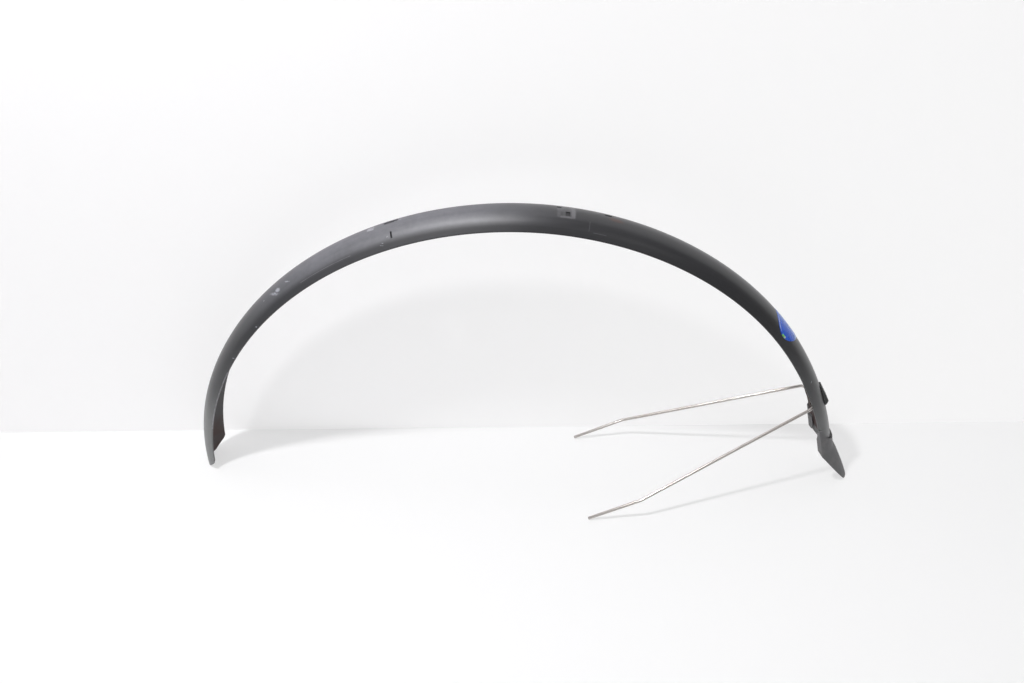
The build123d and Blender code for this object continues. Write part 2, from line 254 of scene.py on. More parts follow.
# Rows along the blade, each end drawn in a little over its last rows to round its rim.
rim = 0.4 * mm
rim_turn = np.radians([90, 60, 30, 0])
rim_back = rim * (1 - np.sin(rim_turn))
rim_squeeze = 1 - rim * (1 - np.cos(rim_turn)) / (blade_wall / 2)
rim_rows = np.ones(len(rim_turn))
body_share = np.linspace(0, 1, 337)[1:-1]
row_share = np.concatenate([0 * rim_rows, body_share, rim_rows])[:, None]
row_shift = np.concatenate(
    [
        rim_back / front_radius,
        np.interp(body_share, [0, 1], [rim / front_radius, -rim / rear_radius]),
        -rim_back[::-1] / rear_radius,
    ]
)[:, None]
row_squeeze = np.concatenate([rim_squeeze, np.ones(len(body_share)), rim_squeeze[::-1]])[:, None]
front_cut = set_back(-blade_height, flat=5 * mm, bevel=np.radians(51))
tail_cut = set_back(-blade_height, flat=1 * mm, bevel=np.radians(66))
row_start = blade_front + np.arcsin(front_cut / (front_radius + blade_height))
row_stop = blade_tail - np.arcsin(tail_cut / (rear_radius + blade_height))
blade_angle = row_start + (row_stop - row_start) * row_share + row_shift
blade_points = blade_point(
    blade_angle,
    middle_across + (blade_across - middle_across) * row_squeeze,
    middle_height + (blade_height - middle_height) * row_squeeze,
)
blade_rows, blade_columns = blade_angle.shape
blade_faces = np.concatenate(
    [
        loop_faces(blade_rows, blade_columns),
        cap_faces(0, blade_columns),
        cap_faces((blade_rows - 1) * blade_columns, blade_columns)[:, ::-1],
    ]
)
blade = new_piece("blade", blade_points, blade_faces)


punch_depth = 14 * mm
punch_rise = 6 * mm


def blade_opening(degrees, across, outline):
    """A prism through the blade's wall at an angle in degrees and a way across."""
    angle = np.radians(degrees)
    centre = crown_line(angle) + np.array([0.0, across, 0.0])
    return prism(centre, facing(angle), tangent(angle), outline, -punch_depth, punch_rise)


def blade_map(points):
    """Ways along and across the blade of points on it, and their depth below its outer side: the
    crown's angle about its arc's centre, and the turn about the section's centre up to the shoulder,
    then the run down the skirt."""
    turn = np.arctan2(points[:, 0], points[:, 2])[:, None]
    ahead, behind = turn < front_bend, turn > rear_bend
    centre = np.where(ahead, front_centre, np.where(behind, rear_centre, 0.0))
    radius = np.where(ahead, front_radius, np.where(behind, rear_radius, crown_radius))
    spoke = (points - centre)[:, [0, 2]]
    height = np.linalg.norm(spoke, axis=1) - radius[:, 0] + crown_curve
    side = np.abs(points[:, 1])
    skirt = np.maximum(side * np.cos(shoulder) - height * np.sin(shoulder), 0)
    turned = np.minimum(np.arctan2(side, height), shoulder)
    along = np.arctan2(spoke[:, 0], spoke[:, 1]) * crown_radius
    across = (crown_curve * turned + skirt) * np.sign(points[:, 1])
    return along, across, crown_curve - side * np.sin(turned) - height * np.cos(turned)


def blade_pocket(degrees, turn, length, width, depth):
    """A prism sunk into the blade's wall, square to it at a turn about the section's centre."""
    angle, turn = np.radians([degrees, turn])
    outward = facing(angle) * np.cos(turn) + np.array([0.0, np.sin(turn), 0.0])
    centre = crown_line(angle) + (outward - facing(angle)) * crown_curve
    corners = np.array([[-1, -1], [1, -1], [1, 1], [-1, 1]]) / 2
    return prism(centre, outward, tangent(angle), corners * [length, width], -depth, punch_rise)


# Three slots for clips beside the crown line, the pocket, the slit, and the holes of the two screws.
screw_hole = oblong(3.6 * mm, 3.6 * mm)
slot_width = 3.2 * mm
slot_offset = 4.2 * mm
slot_angles = (-19.8, 6.1, 13.7)
slot_lengths = (15 * mm, 5 * mm, 8 * mm)
bracket_screw_angle = 66.95
flap_screw_angle = 76.97
punch_through(
    blade,
    [
        *(
            blade_opening(angle, slot_offset, oblong(length, slot_width))
            for angle, length in zip(slot_angles, slot_lengths)
        ),
        blade_pocket(7.4, turn=-14.0, length=4.6 * mm, width=5.4 * mm, depth=1.1 * mm),
        blade_pocket(-19.7, turn=-35.0, length=1.5 * mm, width=7.0 * mm, depth=1.2 * mm),
        blade_opening(bracket_screw_angle, 0, screw_hole),
        blade_opening(flap_screw_angle, 0, screw_hole),
    ],
)
closed_and_smooth(blade, 40)
inner_depth = 1.5 * mm
blade_spots = np.zeros(3 * len(blade.data.vertices))
blade.data.vertices.foreach_get("co", blade_spots)
blade_along, blade_around, blade_depth = blade_map(blade_spots.reshape(-1, 3))
lay_out(blade, blade_along, blade_around)
inner_mark = blade.data.attributes.new("inner_side", "FLOAT", "POINT")
inner_mark.data.foreach_set("value", (blade_depth > inner_depth).astype(np.float32))
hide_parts("mudguard_blade")


def seen(red, green, blue):
    """A colour as it is seen, 0 to 255, as the linear colour that a shader takes."""
    share = np.array([red, green, blue]) / 255
    linear = np.where(share > 0.04045, ((share + 0.055) / 1.055) ** 2.4, share / 12.92)
    return (*linear.tolist(), 1.0)


class Finish:
    """A material's node tree, with a short call for each kind of node it uses."""

    def __init__(self, name):
        self.material = bpy.data.materials.new(name)
        self.material.use_nodes = True
        self.tree = self.material.node_tree
        self.tree.nodes.clear()

    def add(self, kind, inputs, out=0, **settings):
        """One node: its settings, its inputs by name or number, joined or set; gives one output."""
        node = self.tree.nodes.new("ShaderNode" + kind)
        for key, value in settings.items():
            setattr(node, key, value)
        for key, value in inputs.items():
            if isinstance(value, bpy.types.NodeSocket):
                self.tree.links.new(value, node.inputs[key])
            else:
                node.inputs[key].default_value = value
        return node.outputs[out]

    def place(self):
        """The point on the piece, in metres in the part's frame."""
        return self.add("TexCoord", {}, out="Object")

    def layout(self):
        """The piece's own map: metres along and across."""
        return self.add("UVMap", {}, uv_map="layout")

    def split(self, vector):
        """A vector's first and second part."""
        parts = self.tree.nodes.new("ShaderNodeSeparateXYZ")
        self.tree.links.new(vector, parts.inputs[0])
        return parts.outputs[0], parts.outputs[1]

    def math(self, operation, first, second=0.5):
        """One sum, product or the like of two values."""
        return self.add("Math", {0: first, 1: second}, operation=operation)

    def ramp(self, value, low, high, to_low=0.0, to_high=1.0):
        """A smooth step of a value from one level to another."""
        levels = {0: value, 1: low, 2: high, 3: to_low, 4: to_high}
        return self.add("MapRange", levels, interpolation_type="SMOOTHSTEP")

    def stretch(self, vector, scale, turn=0.0, shift=(0, 0, 0)):
        """A vector moved, turned about Z and scaled, in that order."""
        moved = self.add("VectorMath", {0: vector, 1: shift}, operation="SUBTRACT")
        turned = self.add("VectorRotate", {"Vector": moved, "Angle": turn}, rotation_type="Z_AXIS")
        return self.add("VectorMath", {0: turned, 1: scale}, operation="MULTIPLY")

    def noise(self, vector, scale, detail=3.0, rough=0.55):
        """Cloudy values about one half, as many to a metre as the scale says."""
        inputs = {"Vector": vector, "Scale": scale, "Detail": detail, "Roughness": rough}
        return self.add("TexNoise", inputs)

    def mix(self, factor, first, second):
        """One colour changing to another."""
        return self.add("Mix", {0: factor, 6: first, 7: second}, out=2, data_type="RGBA")

    def blur_round(self, vector, middle, size, turn=0.0, soft=0.6):
        """A soft oval mark: 1 at its middle, 0 past its size along and across."""
        away = self.stretch(vector, (1 / size[0], 1 / size[1], 0), turn, (*middle, 0))
        length = self.add("VectorMath", {0: away}, out="Value", operation="LENGTH")
        return self.ramp(length, 1.0, 1.0 - soft)

    def patch(self, vector, low, high, soft):
        """A soft-edged oblong mark: 1 between a low and a high corner, 0 past them."""
        share = None
        for value, start, stop in zip(self.split(vector), low, high):
            after_start = self.ramp(value, start - soft, start + soft)
            before_stop = self.ramp(value, stop + soft, stop - soft)
            inside = self.math("MULTIPLY", after_start, before_stop)
            share = inside if share is None else self.math("MULTIPLY", share, inside)
        return share

    def sum(self, *terms):
        """Adds up several values, each with its weight."""
        total = None
        for value, weight in terms:
            part = self.math("MULTIPLY", value, weight)
            total = part if total is None else self.math("ADD", total, part)
        return total

    def bump(self, height, strength, depth):
        """Normals tilted by a height, as if the surface were raised by it."""
        return self.add("Bump", {"Height": height, "Strength": strength, "Distance": depth})

    def close(self, shader):
        """Joins a shader to the material's surface."""
        end = self.tree.nodes.new("ShaderNodeOutputMaterial")
        self.tree.links.new(shader, end.inputs["Surface"])
        return self.material

    def skin(self, inputs):
        """The surface shader with its inputs, joined to the material's surface."""
        return self.close(self.add("BsdfPrincipled", inputs))


def spot(degrees, across):
    """Place on the blade's map of an angle in degrees and a way across along Y."""
    return (np.radians(degrees) * crown_radius, crown_curve * np.arcsin(across / crown_curve))


def dress(piece, material):
    """Gives all faces of a piece one material."""
    piece.data.materials.clear()
    piece.data.materials.append(material)


# The blade's finish: satin charcoal with drawing lines along it, gone pale and hazy at both ends and on
# the crown of its front half as far down as the shoulder lines, scuffed by clips, the bridge and the
# ground, and with brown dried road dirt on its inner side. The paleness at the ends and on the crown is
# partly weathering and partly painted sheen and light, lighter where the lamps fall on the blade.
charcoal = Finish("blade_plastic")
spot_on = charcoal.place()
mapped = charcoal.layout()
along, across = charcoal.split(mapped)
cloudy = charcoal.noise(spot_on, 16.0, 4.0)
mottled = charcoal.noise(spot_on, 170.0, 4.0, 0.6)
grain = charcoal.noise(spot_on, 1400.0, 2.0)
specks = charcoal.noise(spot_on, 620.0, 4.0, 0.75)
drawn = charcoal.noise(charcoal.stretch(mapped, (7, 900, 0)), 1.0, 3.0)
waves = charcoal.noise(charcoal.stretch(mapped, (3.5, 190, 0)), 1.0, 2.0)
colour = charcoal.mix(cloudy, seen(36, 36, 39), seen(44, 44, 47))
colour = charcoal.mix(charcoal.ramp(drawn, 0.5, 0.8, 0, 0.25), colour, seen(60, 60, 64))
inner = charcoal.add("Attribute", {}, out="Fac", attribute_name="inner_side")
outer = charcoal.math("SUBTRACT", 1.0, inner)
from_crown = charcoal.math("ABSOLUTE", across)
# Painted sheen: the front crown is made paler, fading down to the shoulders, partly haze and partly the
# lamps' sheen.
front_haze_and_sheen = charcoal.math(
    "MULTIPLY",
    charcoal.ramp(along, spot(-56, 0)[0], spot(-30, 0)[0]),
    charcoal.ramp(along, spot(10, 0)[0], spot(-14, 0)[0]),
)
haze_and_sheen = charcoal.math(
    "MULTIPLY", front_haze_and_sheen, charcoal.ramp(from_crown, 24.0 * mm, 15.0 * mm, 0.12, 1.0)
)
# Painted light: both ends are made paler, partly weathering and partly the light falling on them from
# the sides.
pale_ends_and_painted_light = charcoal.math(
    "MAXIMUM",
    charcoal.ramp(along, spot(-64, 0)[0], spot(-78, 0)[0], 0.0, 0.95),
    charcoal.ramp(along, spot(62, 0)[0], spot(71, 0)[0], 0.0, 0.85),
)
patchy = charcoal.sum((mottled, 0.5), (waves, 0.6), (cloudy, 0.7))
patchy = charcoal.math("MULTIPLY", patchy, outer)
colour = charcoal.mix(charcoal.math("MULTIPLY", haze_and_sheen, patchy), colour, seen(96, 96, 102))
colour = charcoal.mix(charcoal.math("MULTIPLY", pale_ends_and_painted_light, patchy), colour, seen(100, 102, 102))

scuffs = [
    (spot(-41.7, -11.6 * mm), (7.5 * mm, 5.0 * mm), 0.5, 1.0),
    (spot(-42.6, -12.6 * mm), (17 * mm, 4.2 * mm), 0.55, 0.78),
    (spot(-39.4, -10.5 * mm), (9 * mm, 2.2 * mm), 0.5, 0.8),
    (spot(-45.2, -10.4 * mm), (3.0 * mm, 2.0 * mm), 0.0, 0.75),
    (spot(-20.4, -14.9 * mm), (4.0 * mm, 2.2 * mm), 0.0, 0.6),
    (spot(-18.2, 3.6 * mm), (4.5 * mm, 2.6 * mm), 0.0, 0.7),
    (spot(-21.6, -19.8 * mm), (5.5 * mm, 0.9 * mm), 0.3, 0.72),
    (spot(-21.3, -18.6 * mm), (4.5 * mm, 0.8 * mm), 0.3, 0.66),
    (spot(-49.1, -21.7 * mm), (2.4 * mm, 1.6 * mm), 0.6, 1.0),
    (spot(-65.1, -11.1 * mm), (2.0 * mm, 1.6 * mm), 0.0, 0.85),
    (spot(-57.6, -21.9 * mm), (4.0 * mm, 1.0 * mm), 0.9, 1.0),
    (spot(60.9, -17.1 * mm), (3.2 * mm, 0.9 * mm), 1.2, 1.1),
]
worn = None
for middle, size, turn, strength in scuffs:
    oval = charcoal.blur_round(mapped, middle, size, turn, 0.95)
    oval = charcoal.math("MULTIPLY", oval, strength)
    worn = oval if worn is None else charcoal.math("MAXIMUM", worn, oval)
worn = charcoal.ramp(charcoal.sum((worn, 1.0), (specks, 1.1)), 0.95, 1.5)
worn = charcoal.math("MULTIPLY", worn, outer)
colour = charcoal.mix(worn, colour, seen(150, 152, 160))

# Rubbed places: a pale fleck by the front slot, the frame left by a plate round the pocket, faint lines
# of an old plate behind it, and a brown stain by the rear slot. Painted highlights: a pale line
# along the shoulder and a pale skirt edge near the front. Painted shade: dark in the pocket and the
# shade before it, in the slit, and beside two slots.
rubs_and_edge_highlights = [
    (spot(-23.75, -1.6 * mm), spot(-22.6, 4.4 * mm), 0.8 * mm, 0.6),
    (spot(5.8, -10.6 * mm), spot(8.6, 9.0 * mm), 1.2 * mm, 0.1),
    (spot(7.9, -10.2 * mm), spot(8.55, 8.0 * mm), 1.0 * mm, 0.2),
    (spot(6.2, -11.0 * mm), spot(8.5, -9.0 * mm), 0.9 * mm, 0.17),
    (spot(10.75, -19.0 * mm), spot(10.85, -11.0 * mm), 0.35 * mm, 0.12),
    (spot(11.5, -19.4 * mm), spot(13.6, -19.2 * mm), 0.3 * mm, 0.2),
    # The next two marks are painted highlights: a pale line along the shoulder and one along the front
    # skirt edge.
    (spot(-37.0, -18.9 * mm), spot(-27.0, -18.7 * mm), 0.3 * mm, 0.3),
    ((spot(-77, 0)[0], -29.3 * mm), (spot(-61, 0)[0], -28.5 * mm), 0.3 * mm, 0.42),
]
rubbed_and_highlit = None
for low, high, soft, strength in rubs_and_edge_highlights:
    oblong_mark = charcoal.patch(mapped, low, high, soft)
    oblong_mark = charcoal.math("MULTIPLY", oblong_mark, strength)
    rubbed_and_highlit = oblong_mark if rubbed_and_highlit is None else charcoal.math("MAXIMUM", rubbed_and_highlit, oblong_mark)
rubbed_and_highlit = charcoal.math("MULTIPLY", rubbed_and_highlit, charcoal.ramp(mottled, 0.25, 0.6, 0.45, 1.0))
rubbed_and_highlit = charcoal.math("MULTIPLY", rubbed_and_highlit, outer)
colour = charcoal.mix(rubbed_and_highlit, colour, seen(176, 174, 180))
stain = charcoal.blur_round(mapped, spot(14.9, -1.6 * mm), (10 * mm, 4.5 * mm), 0.1, 0.7)
stain = charcoal.math("MULTIPLY", stain, charcoal.ramp(specks, 0.3, 0.6, 0.4, 0.9))
colour = charcoal.mix(charcoal.math("MULTIPLY", stain, outer), colour, seen(64, 40, 35))
# Painted shade: dark colour in the pocket and before it, in the slit, and beside two slots whose
# openings lie in shade.
painted_shade_places = [
    (spot(7.04, -8.7 * mm), spot(7.76, -3.3 * mm), 0.3 * mm, 0.8),
    (spot(6.3, -8.4 * mm), spot(7.1, -3.6 * mm), 0.8 * mm, 0.4),
    (spot(-19.84, -16.9 * mm), spot(-19.56, -11.2 * mm), 0.4 * mm, 1.0),
    (spot(-20.9, 0.9 * mm), spot(-19.2, 2.7 * mm), 0.5 * mm, 0.65),
    (spot(13.2, 1.6 * mm), spot(14.2, 2.7 * mm), 0.5 * mm, 0.5),
]
painted_hollow_shade = None
for low, high, soft, strength in painted_shade_places:
    shade = charcoal.math("MULTIPLY", charcoal.patch(mapped, low, high, soft), strength)
    painted_hollow_shade = shade if painted_hollow_shade is None else charcoal.math("MAXIMUM", painted_hollow_shade, shade)
painted_hollow_shade = charcoal.math("MULTIPLY", painted_hollow_shade, outer)
colour = charcoal.mix(painted_hollow_shade, colour, seen(18, 19, 22))
at_ends = charcoal.math(
    "MAXIMUM",
    charcoal.ramp(along, spot(-77, 0)[0], spot(-85, 0)[0], 0.1, 1.0),
    charcoal.ramp(along, spot(52, 0)[0], spot(62, 0)[0], 0.2, 1.0),
)
dirt = charcoal.ramp(charcoal.noise(spot_on, 60.0, 5.0), 0.35, 0.7, 0.6, 1.0)
dirt = charcoal.math("MULTIPLY", charcoal.math("MULTIPLY", dirt, at_ends), inner)
colour = charcoal.mix(dirt, colour, seen(62, 38, 35))
dull = charcoal.sum(
    (cloudy, 0.08),
    (drawn, 0.1),
    (front_haze_and_sheen, 0.22),
    (worn, 0.2),
    (dirt, 0.3),
    (rubbed_and_highlit, 0.2),
    (painted_hollow_shade, 0.4),
)
dull = charcoal.math("ADD", dull, 0.24)
relief = charcoal.sum((grain, 0.25), (drawn, 0.3), (waves, 1.0), (worn, -0.4))
dress(
    blade,
    charcoal.skin(
        {
            "Base Color": colour,
            "Roughness": dull,
            "Normal": charcoal.bump(relief, 0.25, 0.2 * mm),
            "IOR": 1.5,
            "Specular IOR Level": 0.7,
        }
    ),
)

# Stay: one length of bright stainless wire, bent to a U whose legs spread to the axle and end in
# straight tails. Its crossing lies in the bracket's groove, swung a little to one side.
wire_radius = 1.75 * mm
stay_angle = np.radians(65.7)
stay_reach = 277 * mm
stay_leg = stay_reach - 63.5 * mm
half_spread = 65.3 * mm
half_cross = 18.6 * mm
stay_swing = np.radians(4.8)
edge_drop = -np.min(section(shoulder, skirt_length, -blade_wall)[1])
stay_middle = blade_point(stay_angle, 0.0, 2.6 * mm - edge_drop)
stay_slope = np.arcsin((stay_middle[2] - stand_level - wire_radius) / stay_reach)
stay_across = np.array([-np.sin(stay_swing), np.cos(stay_swing), 0])
stay_down = np.array(
    [
        -np.cos(stay_slope) * np.cos(stay_swing),
        -np.cos(stay_slope) * np.sin(stay_swing),
        -np.sin(stay_slope),
    ]
)


def rounded_line(corners, radii, steps=14):
    """A flat line through corners, each but the ends rounded: an arc that starts and ends where the
    rounding's tangents leave the two sides."""
    runs = [corners[:1]]
    for before, corner, after, radius in zip(corners, corners[1:], corners[2:], radii):
        back = (before - corner) / np.linalg.norm(before - corner)
        ahead = (after - corner) / np.linalg.norm(after - corner)
        half = np.arccos(np.clip(back @ ahead, -1, 1)) / 2
        bisector = (back + ahead) / np.linalg.norm(back + ahead)
        middle = corner + bisector * radius / np.sin(half)
        start = corner + back * radius / np.tan(half) - middle
        end = corner + ahead * radius / np.tan(half) - middle
        share = np.linspace(0, 1, steps)[:, None]
        sweep = np.pi - 2 * half
        weights = np.sin((1 - share) * sweep), np.sin(share * sweep)
        runs.append(middle + (weights[0] * start + weights[1] * end) / np.sin(sweep))
    return np.concatenate(runs + [corners[-1:]])


stay_corners = np.array(
    [
        [-half_spread, stay_reach],
        [-half_spread, stay_leg],
        [-half_cross, 0],
        [half_cross, 0],
        [half_spread, stay_leg],
        [half_spread, stay_reach],
    ]
)
stay_line = rounded_line(stay_corners, [30 * mm, 8 * mm, 8 * mm, 30 * mm])
stay_rim = 0.5 * mm
stay_rim_turn = np.radians([90, 60, 30, 0])[:, None]
near_step = (stay_line[1] - stay_line[0]) / np.linalg.norm(stay_line[1] - stay_line[0])
far_step = (stay_line[-2] - stay_line[-1]) / np.linalg.norm(stay_line[-2] - stay_line[-1])
rim_in = stay_rim * (1 - np.sin(stay_rim_turn))
stay_rows = np.concatenate(
    [stay_line[0] + near_step * rim_in, stay_line[1:-1], (stay_line[-1] + far_step * rim_in)[::-1]]
)
rim_thin = wire_radius - stay_rim * (1 - np.cos(stay_rim_turn))
body_thick = np.full((len(stay_line) - 2, 1), wire_radius)
stay_thick = np.concatenate([rim_thin, body_thick, rim_thin[::-1]])
stay_steps = np.gradient(stay_rows, axis=0)
rim_count = len(stay_rim_turn)
stay_steps[:rim_count], stay_steps[-rim_count:] = near_step, -far_step
stay_steps /= np.linalg.norm(stay_steps, axis=1, keepdims=True)
stay_side = np.stack([-stay_steps[:, 1], stay_steps[:, 0]], -1)
round_turn = np.linspace(0, 2 * np.pi, 29)[:-1]
stay_normal = np.cross(stay_across, stay_down)


def in_stay_plane(flat):
    """Points of the stay's plane, across it and down it from the middle of the crossing."""
    return flat[..., :1] * stay_across + flat[..., 1:] * stay_down


stay_rings = (
    stay_middle
    + in_stay_plane(stay_rows)[:, None]
    + stay_thick[:, None] * np.cos(round_turn)[:, None] * in_stay_plane(stay_side)[:, None]
    + stay_thick[:, None] * np.sin(round_turn)[:, None] * stay_normal
)
ring_count, ring_size = stay_rings.shape[:2]
stay_faces = loop_faces(ring_count, ring_size).tolist()
stay_faces.append(list(range(ring_size)))
stay_faces.append(list(range((ring_count - 1) * ring_size, ring_count * ring_size))[::-1])
stay = new_piece("wire_stay", stay_rings, stay_faces)
stay_length = np.cumsum(np.r_[0, np.linalg.norm(np.diff(stay_rows, axis=0), axis=1)])
lay_out(
    stay,
    np.broadcast_to(stay_length[:, None], (ring_count, ring_size)),
    np.broadcast_to(round_turn * wire_radius, (ring_count, ring_size)),
)
closed_and_smooth(stay, 50)
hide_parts("stay")

# The wire's finish: stainless under a thin dull skin, with fine drawing lines and a few brownish
# stretches.
wire = Finish("stay_steel")
wire_map = wire.layout()
wire_spot = wire.place()
wire_lines = wire.noise(wire.stretch(wire_map, (6, 2200, 0)), 1.0, 2.0)
wire_cloud = wire.noise(wire_spot, 22.0, 3.0)
wire_film = wire.ramp(wire_cloud, 0.45, 0.75, 0.0, 0.4)
wire_colour = wire.mix(wire_lines, seen(186, 180, 177), seen(210, 205, 202))
wire_colour = wire.mix(wire_film, wire_colour, seen(168, 152, 144))
dress(
    stay,
    wire.skin(
        {
            "Base Color": wire_colour,
            "Metallic": 0.85,
            "Roughness": wire.ramp(wire_cloud, 0.3, 0.75, 0.27, 0.34),
            "Normal": wire.bump(wire_lines, 0.05, 0.02 * mm),
        }
    ),
)

# Sticker: a round plastic film with a plain blue print, pressed on to the crown above the stay and held
# by its glue, with a pale rim line and a green corner at its near edge.
sticker_angle = np.radians(50.3)
sticker_size = np.array([21.0, 18.3]) * mm
film_lift = 0.25 * mm
film_seat = 0.03 * mm
film_rim = 0.16 * mm
film_rings = 16
film_out = np.linspace(0, 1, film_rings)
film_share = np.concatenate([film_out, 1 - film_out])[:, None]
film_lifts = np.concatenate(
    [np.full(film_rings - 1, film_lift), [film_rim], np.full(film_rings, film_seat)]
)[:, None]
film_turn = np.linspace(0, 2 * np.pi, 121)[:-1]
film_along = sticker_size[0] * film_share * np.cos(film_turn)
film_across = sticker_size[1] * film_share * np.sin(film_turn)
film_section = np.arcsin(film_across / (crown_curve + film_lifts))
film_height = (crown_curve + film_lifts) * np.cos(film_section) - crown_curve
film_points = blade_point(
    sticker_angle + np.arctan(film_along / crown_radius), film_across, film_height
)
sticker = new_piece("sticker_print", film_points, loop_faces(*film_along.shape))
lay_out(sticker, film_along, crown_curve * film_section)
closed_and_smooth(sticker, 40)
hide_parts("sticker")

# The sticker's finish: printed film, glossy, a little faded and scratched, with painted sheen that
# makes it paler towards its far side.
film = Finish("sticker_film")
film_map = film.layout()
film_spot = film.place()
film_cloud = film.noise(film_spot, 120.0, 4.0)
film_dots = film.noise(film_spot, 900.0, 2.0)
film_colour = film.mix(film_cloud, seen(20, 80, 205), seen(42, 104, 226))
# Painted sheen: the film turns paler towards its far side, which faces the light.
far_side_sheen = film.ramp(film.split(film_map)[1], -14 * mm, 5 * mm, 0.0, 0.6)
film_colour = film.mix(far_side_sheen, film_colour, seen(140, 176, 232))
film_worn = film.blur_round(film_map, (18.2 * mm, -6.5 * mm), (2.6 * mm, 5.5 * mm), 0.0, 0.7)
film_colour = film.mix(film.math("MULTIPLY", film_worn, 0.7), film_colour, seen(170, 204, 240))
rim_length = film.add(
    "VectorMath",
    {0: film.stretch(film_map, (1 / sticker_size[0], 1 / (20.6 * mm), 0))},
    out="Value",
    operation="LENGTH",
)
rim_line = film.math(
    "MULTIPLY", film.ramp(rim_length, 0.87, 0.89), film.ramp(rim_length, 0.93, 0.91)
)
left_only = film.ramp(film.split(film_map)[0], -4 * mm, -9 * mm, 0.0, 0.9)
rim_line = film.math("MULTIPLY", rim_line, left_only)
rim_line = film.math("MULTIPLY", rim_line, film.ramp(film_cloud, 0.35, 0.55, 0.2, 1.0))
film_colour = film.mix(rim_line, film_colour, seen(214, 226, 246))
green_corner = film.patch(film_map, (-4.0 * mm, -20.3 * mm), (1.0 * mm, -18.2 * mm), 0.3 * mm)
film_colour = film.mix(green_corner, film_colour, seen(132, 214, 104))
pale_end = film.patch(film_map, (0.4 * mm, -20.2 * mm), (2.2 * mm, -18.2 * mm), 0.3 * mm)
film_colour = film.mix(pale_end, film_colour, seen(238, 246, 190))
film_scratch = film.ramp(film.noise(film.stretch(film_map, (900, 90, 0), 0.6), 1.0, 3.0), 0.66, 0.74)
film_colour = film.mix(film.math("MULTIPLY", film_scratch, 0.3), film_colour, seen(170, 190, 225))
dress(
    sticker,
    film.skin(
        {
            "Base Color": film_colour,
            "Roughness": film.ramp(film_cloud, 0.3, 0.7, 0.22, 0.34),
            "Normal": film.bump(film_dots, 0.05, 0.05 * mm),
        }
    ),
)

# Flap: soft moulded plastic pushed over the blade's tail, with ears that hook the skirt edges, turned
# outwards below the tail. It stands on its tip.
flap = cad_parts["mudflap"]
rubber = Finish("flap_plastic")
flap_spot = rubber.place()
flap_cloud = rubber.noise(flap_spot, 40.0, 4.0)
flap_grain = rubber.noise(flap_spot, 1100.0, 2.0)
flap_dust = rubber.ramp(rubber.noise(flap_spot, 90.0, 5.0), 0.4, 0.75, 0.0, 0.5)
flap_colour = rubber.mix(flap_cloud, seen(98, 98, 100), seen(113, 113, 114))
flap_colour = rubber.mix(flap_dust, flap_colour, seen(130, 127, 125))
dress(
    flap,
    rubber.skin(
        {
            "Base Color": flap_colour,
            "Roughness": rubber.ramp(flap_cloud, 0.3, 0.7, 0.52, 0.62),
            "Normal": rubber.bump(flap_grain, 0.15, 0.15 * mm),
        }
    ),
)

# Bracket: a block of black plastic, moulded in one piece, inside the blade and under the hood. The
# crossing of the stay lies in its groove, and a screw holds it to the blade.
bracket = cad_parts["stay_bracket"]
black = Finish("bracket_plastic")
black_spot = black.place()
black_cloud = black.noise(black_spot, 55.0, 4.0)
black_grain = black.noise(black_spot, 1300.0, 2.0)
black_dirt = black.ramp(black.noise(black_spot, 110.0, 5.0), 0.42, 0.72, 0.0, 0.7)
black_colour = black.mix(black_cloud, seen(54, 46, 44), seen(68, 60, 58))
black_colour = black.mix(black_dirt, black_colour, seen(86, 66, 60))
dress(
    bracket,
    black.skin(
        {
            "Base Color": black_colour,
            "Roughness": black.ramp(black_cloud, 0.3, 0.7, 0.45, 0.6),
            "Normal": black.bump(black_grain, 0.12, 0.12 * mm),
        }
    ),
)

# Hood: a small wedge of glossy dark plastic, moulded in one piece, on the outside of the crown over the
# bracket. The bracket's screw holds it from inside.
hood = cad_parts["bracket_hood"]
gloss = Finish("hood_plastic")
gloss_spot = gloss.place()
gloss_cloud = gloss.noise(gloss_spot, 80.0, 4.0)
gloss_grain = gloss.noise(gloss_spot, 1500.0, 2.0)
gloss_colour = gloss.mix(gloss_cloud, seen(26, 30, 30), seen(37, 41, 41))
dress(
    hood,
    gloss.skin(
        {
            "Base Color": gloss_colour,
            "Roughness": gloss.ramp(gloss_cloud, 0.3, 0.7, 0.26, 0.38),
            "Normal": gloss.bump(gloss_grain, 0.08, 0.1 * mm),
        }
    ),
)

# Screws: self-tapping screws of plated steel with crossed recesses, driven from inside, one through the
# bracket and the blade, and one through the blade's tail into the flap.
plated = Finish("screw_steel")
plated_spot = plated.place()
plated_cloud = plated.noise(plated_spot, 220.0, 4.0)
plated_grain = plated.noise(plated_spot, 1800.0, 2.0)
plated_colour = plated.mix(plated_cloud, seen(150, 148, 144), seen(186, 184, 178))
plated_rust = plated.ramp(plated.noise(plated_spot, 320.0, 5.0), 0.5, 0.72, 0.0, 0.6)
plated_colour = plated.mix(plated_rust, plated_colour, seen(116, 84, 62))
screw_steel = plated.skin(
    {
        "Base Color": plated_colour,
        "Metallic": 1.0,
        "Roughness": plated.ramp(plated_cloud, 0.3, 0.7, 0.3, 0.46),
        "Normal": plated.bump(plated_grain, 0.1, 0.05 * mm),
    }
)
dress(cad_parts["bracket_screw"], screw_steel)
dress(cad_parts["flap_screw"], screw_steel)

# Stage: a pale floor at the level the part stands on and a pale wall close behind it. Both show nearly
# white and keep a share of the part's shadow.
wall_near = np.array([-0.635, 0.0331])
wall_far = np.array([0.6515, 0.0914])
wall_reach = 3
wall_way = (wall_far - wall_near) / np.linalg.norm(wall_far - wall_near)
wall_ends = np.stack([wall_near - wall_reach * wall_way, wall_far + wall_reach * wall_way])


